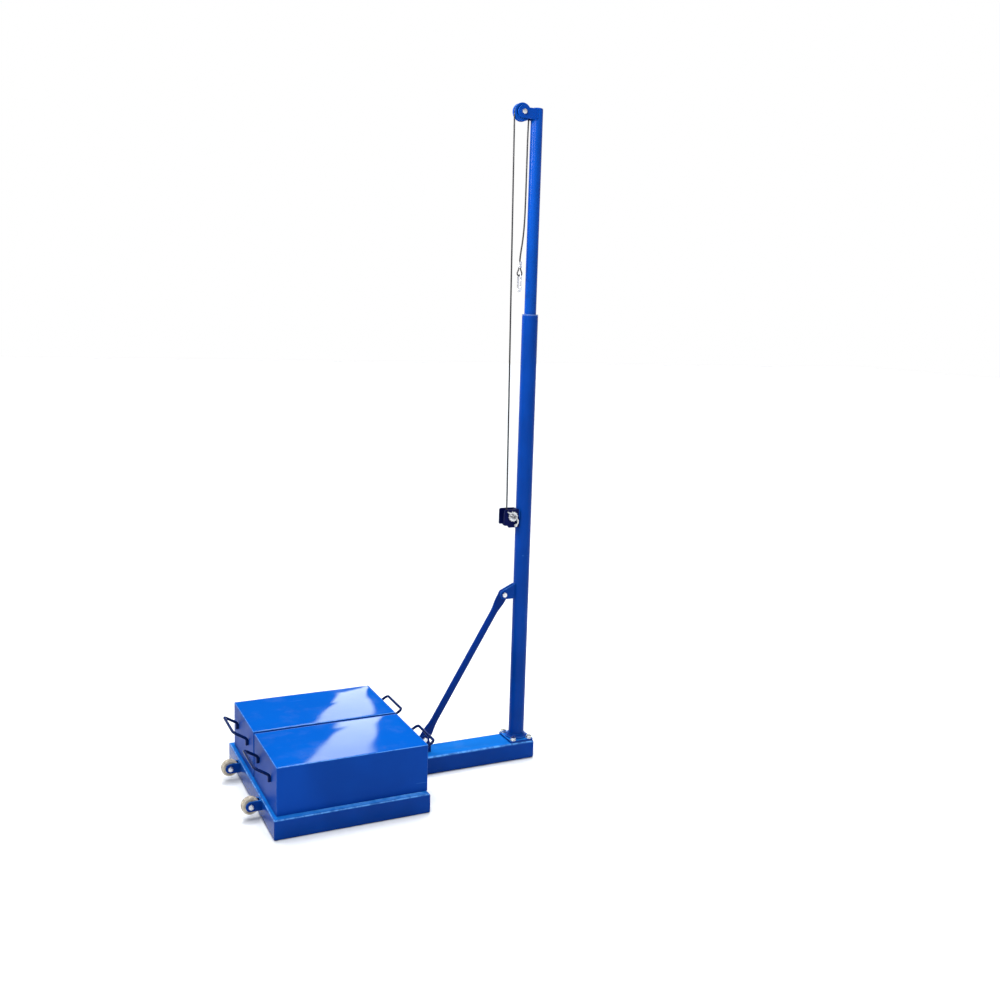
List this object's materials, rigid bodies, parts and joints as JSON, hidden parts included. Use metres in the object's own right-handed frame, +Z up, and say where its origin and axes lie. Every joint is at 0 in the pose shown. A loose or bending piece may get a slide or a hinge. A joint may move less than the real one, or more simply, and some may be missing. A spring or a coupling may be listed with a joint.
{
  "type": "volleyball net post",
  "caption": "Freestanding telescopic net post on a counterweighted steel base, with a braced mast, pulley head, ratchet winch and cable.",
  "frame": {"origin": "the mast's axis where it meets the ground, on the underside of the boom", "axes": "+Z up along the mast, +X towards the court, away from the counterweights, and +Y to the side of the mast that carries the lock screw"},
  "size_m": [1.158, 0.71, 2.4695],
  "materials": {
    "blue_enamel": "gloss",
    "light_blue_enamel": "gloss",
    "bright_blue_enamel": "gloss",
    "dark_blue_enamel": "satin",
    "zinc": "satin",
    "cream_nylon": "satin",
    "black_cable": "satin",
    "grey_nylon": "satin",
    "concrete": "matte"
  },
  "bodies": {
    "base": {"rear_rail": "blue_enamel", "near_rail": "blue_enamel", "far_rail": "blue_enamel", "front_rail_near": "blue_enamel", "front_rail_far": "blue_enamel", "boom": "blue_enamel", "boom_end_cap": "blue_enamel", "foot_plate": "blue_enamel", "foot_ring": "blue_enamel", "foot_bolt_1": "zinc", "foot_bolt_2": "zinc", "foot_bolt_3": "zinc", "foot_bolt_4": "zinc", "mast_lower": "blue_enamel", "mast_guide_bush": "grey_nylon", "mast_bracket": "blue_enamel", "boom_lug": "blue_enamel", "brace": "blue_enamel", "brace_bolt_upper": "zinc", "brace_nut_upper": "zinc", "brace_bolt_lower": "zinc", "brace_nut_lower": "zinc", "lock_nut": "zinc", "wheel_bracket_near": "blue_enamel", "wheel_bracket_far": "blue_enamel", "wheel_axle_near": "zinc", "wheel_axle_far": "zinc", "winch_bracket": "dark_blue_enamel", "pawl_pin": "zinc", "cable_run": "black_cable"},
    "upper_mast": {"mast_upper": "light_blue_enamel", "mast_cap": "light_blue_enamel", "mast_slide_bush": "grey_nylon", "pulley_cheek_near": "blue_enamel", "pulley_cheek_far": "blue_enamel", "axle_bolt": "zinc", "axle_nut": "zinc", "cable_tail": "black_cable", "cable_sleeve": "zinc", "cable_eye": "black_cable"},
    "sheave": {"pulley": "light_blue_enamel"},
    "hook": {"snap_hook": "zinc"},
    "gate": {"hook_gate": "zinc"},
    "winch": {"winch_drum": "zinc", "crank_boss": "zinc", "turning_bar": "zinc", "ratchet_wheel": "zinc", "cable_winding": "black_cable"},
    "pawl": {"ratchet_pawl": "zinc"},
    "lock": {"lock_screw": "zinc"},
    "near_weight": {"counterweight_near": "bright_blue_enamel", "concrete_near": "concrete", "handle_near_rear": "blue_enamel", "handle_near_front": "blue_enamel"},
    "far_weight": {"counterweight_far": "bright_blue_enamel", "concrete_far": "concrete", "handle_far_rear": "blue_enamel", "handle_far_front": "blue_enamel"},
    "near_wheel": {"wheel_near": "cream_nylon"},
    "far_wheel": {"wheel_far": "cream_nylon"}
  },
  "joints": [
    {"name": "mast_extend", "type": "slide", "parent": "base", "child": "upper_mast", "axis": [0, 0, 1], "range_m": [-0.65, 0.1], "deforming": ["cable_run"]},
    {"name": "pulley_spin", "type": "hinge", "parent": "upper_mast", "child": "sheave", "pos_m": [-0.061, 0, 2.437], "axis": [0, 1, 0], "continuous": true},
    {"name": "winch_turn", "type": "hinge", "parent": "base", "child": "winch", "pos_m": [-0.057, 0, 0.963], "axis": [0, 1, 0], "continuous": true},
    {"name": "pawl_swing", "type": "hinge", "parent": "base", "child": "pawl", "pos_m": [-0.0455, 0, 0.929], "axis": [0, 1, 0], "range_deg": [0, 30], "stiffness_Nm_per_rad": 0.02, "springref_deg": -17.19},
    {"name": "lock_screw_turn", "type": "hinge", "parent": "base", "child": "lock", "pos_m": [0, 0.04445, 1.66], "axis": [0, 1, 0], "range_deg": [-720, 0]},
    {"name": "hook_swing", "type": "hinge", "parent": "upper_mast", "child": "hook", "pos_m": [-0.0495, 0, 1.8642], "axis": [0, 1, 0], "range_deg": [-15, 25]},
    {"name": "gate_open", "type": "hinge", "parent": "hook", "child": "gate", "pos_m": [-0.0495, -0.012, 1.8221], "axis": [-1, 0, 0], "range_deg": [0, 30], "stiffness_Nm_per_rad": 0.02, "springref_deg": -17.19},
    {"name": "near_weight_lift", "type": "slide", "parent": "base", "child": "near_weight", "axis": [0, 0, 1], "range_m": [0, 0.3]},
    {"name": "far_weight_lift", "type": "slide", "parent": "base", "child": "far_weight", "axis": [0, 0, 1], "range_m": [0, 0.3]},
    {"name": "near_wheel_roll", "type": "hinge", "parent": "base", "child": "near_wheel", "pos_m": [-1.078, -0.16775, 0.05], "axis": [0, 1, 0], "continuous": true},
    {"name": "far_wheel_roll", "type": "hinge", "parent": "base", "child": "far_wheel", "pos_m": [-1.078, 0.16775, 0.05], "axis": [0, 1, 0], "continuous": true}
  ],
  "couplings": [
    {"joint": "pulley_spin", "follows": "winch_turn", "ratio": 0.528}
  ]
}
